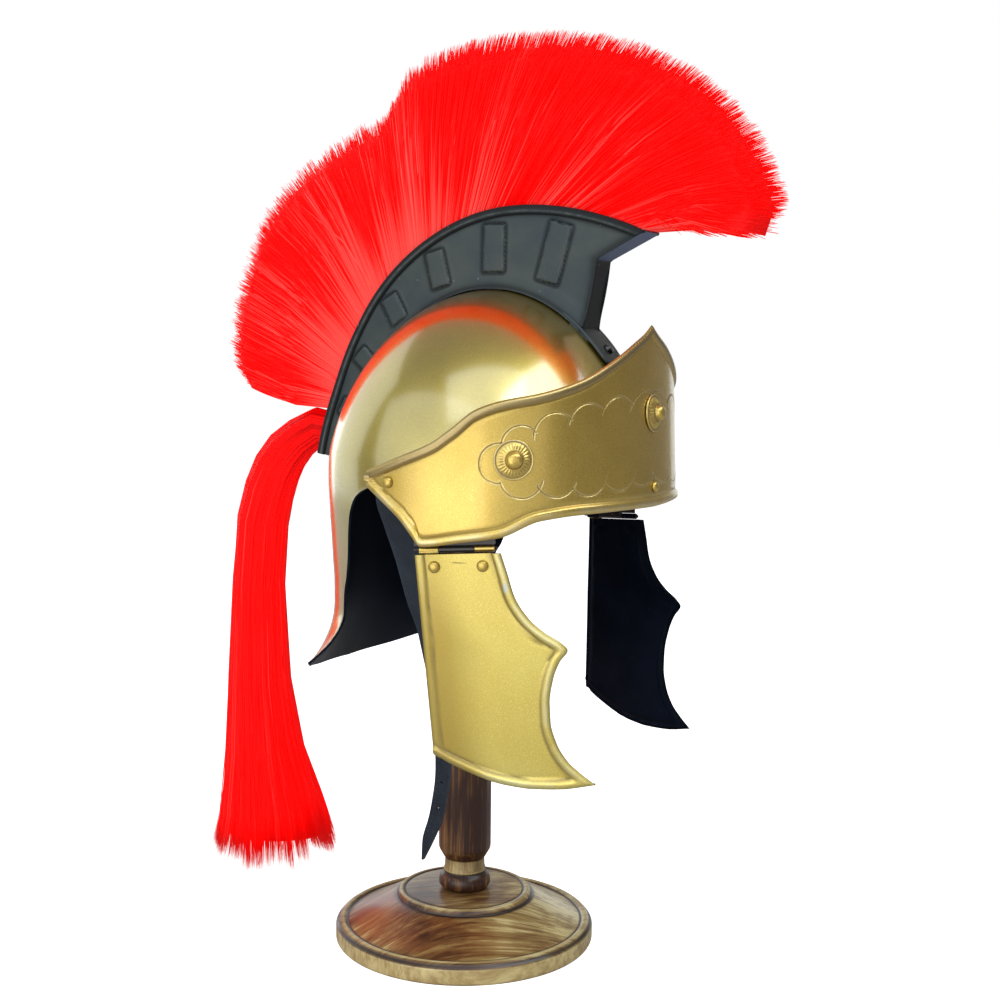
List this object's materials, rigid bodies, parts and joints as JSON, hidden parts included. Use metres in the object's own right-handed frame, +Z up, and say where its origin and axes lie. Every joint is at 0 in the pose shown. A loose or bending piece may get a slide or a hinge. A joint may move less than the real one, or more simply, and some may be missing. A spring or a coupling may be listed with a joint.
{
  "type": "centurion helmet on a wooden display stand",
  "caption": "Centurion helmet with a peaked brow band, hinged cheek guards and a standing red plume with a tail, on a turned wooden display stand.",
  "frame": {"origin": "centre of the stand base's underside, on the axis of the stand", "axes": "+Z up along the stand's post, -Y the way the helmet faces, -X the wearer's right"},
  "size_m": [0.2214, 0.3682, 0.5208],
  "materials": {
    "gold_bowl": "speckled gold lacquer",
    "gold_trim": "warm gold lacquer, worn pale on the edges",
    "black_metal": "satin black paint",
    "red_hair": "straight dyed bristles",
    "dark_leather": "dark blue-black, stitched edge",
    "stained_wood": "streaked brown stain with pale turned beads"
  },
  "bodies": {
    "helmet": {"stand_base": "stained_wood", "stand_post": "stained_wood", "bowl": "gold_bowl", "crest_holder": "black_metal", "crest_tab_rivet": "black_metal", "plume_brush": "red_hair", "plume_tail": "red_hair", "chin_strap": "dark_leather", "brow_band": "gold_trim", "rosette_right": "gold_trim", "rosette_left": "gold_trim", "rosette_front": "gold_trim", "band_rivet_right": "gold_trim", "band_rivet_left": "gold_trim", "band_rivet_front": "gold_trim", "hinge_upper_leaf_right": "black_metal", "hinge_pin_right": "gold_trim", "hinge_upper_leaf_left": "black_metal", "hinge_pin_left": "gold_trim"},
    "cheek_right": {"cheek_guard_right": "gold_trim", "hinge_lower_leaf_right": "gold_trim", "cheek_rivet_rear_right": "gold_trim", "cheek_rivet_front_right": "gold_trim"},
    "cheek_left": {"cheek_guard_left": "gold_trim", "hinge_lower_leaf_left": "gold_trim", "cheek_rivet_rear_left": "gold_trim", "cheek_rivet_front_left": "gold_trim"}
  },
  "joints": [
    {"name": "cheek_hinge_right", "type": "hinge", "parent": "helmet", "child": "cheek_right", "pos_m": [-0.09753, -0.04738, 0.24482], "axis": [-0.2986, 0.9528, -0.0558], "range_deg": [-12, 50]},
    {"name": "cheek_hinge_left", "type": "hinge", "parent": "helmet", "child": "cheek_left", "pos_m": [0.09753, -0.04738, 0.24482], "axis": [-0.2986, -0.9528, 0.0558], "range_deg": [-12, 50]}
  ]
}
